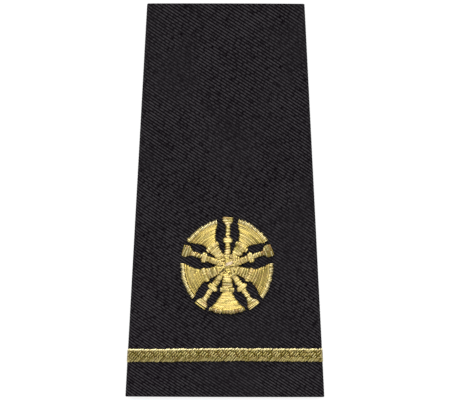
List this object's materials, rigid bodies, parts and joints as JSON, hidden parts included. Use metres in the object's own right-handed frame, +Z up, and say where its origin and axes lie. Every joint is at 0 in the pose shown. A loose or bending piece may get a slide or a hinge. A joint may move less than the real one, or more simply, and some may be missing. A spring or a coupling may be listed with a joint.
{
  "type": "slip-on shoulder mark",
  "caption": "Slip-on shoulder mark: a tapered twill sleeve, open at both ends, with an embroidered badge of crossed bugles and a rank bar.",
  "frame": {"origin": "middle of the back face, where the mark lies on a surface: the bottom centre of its box", "axes": "+Y along the sleeve from the wide arm end to the narrow neck end, +Z up out of the front, +X across it to the right"},
  "size_m": [0.054, 0.1066, 0.009],
  "materials": {
    "twill": "matt black polyester twill",
    "gold_thread": "metallic gold embroidery thread"
  },
  "bodies": {
    "root": {"front_panel": "twill", "back_panel": "twill", "rank_bar": "gold_thread", "bugle_1": "gold_thread", "bugle_2": "gold_thread", "bugle_3": "gold_thread", "bugle_4": "gold_thread", "bugle_5": "gold_thread"}
  },
  "joints": []
}
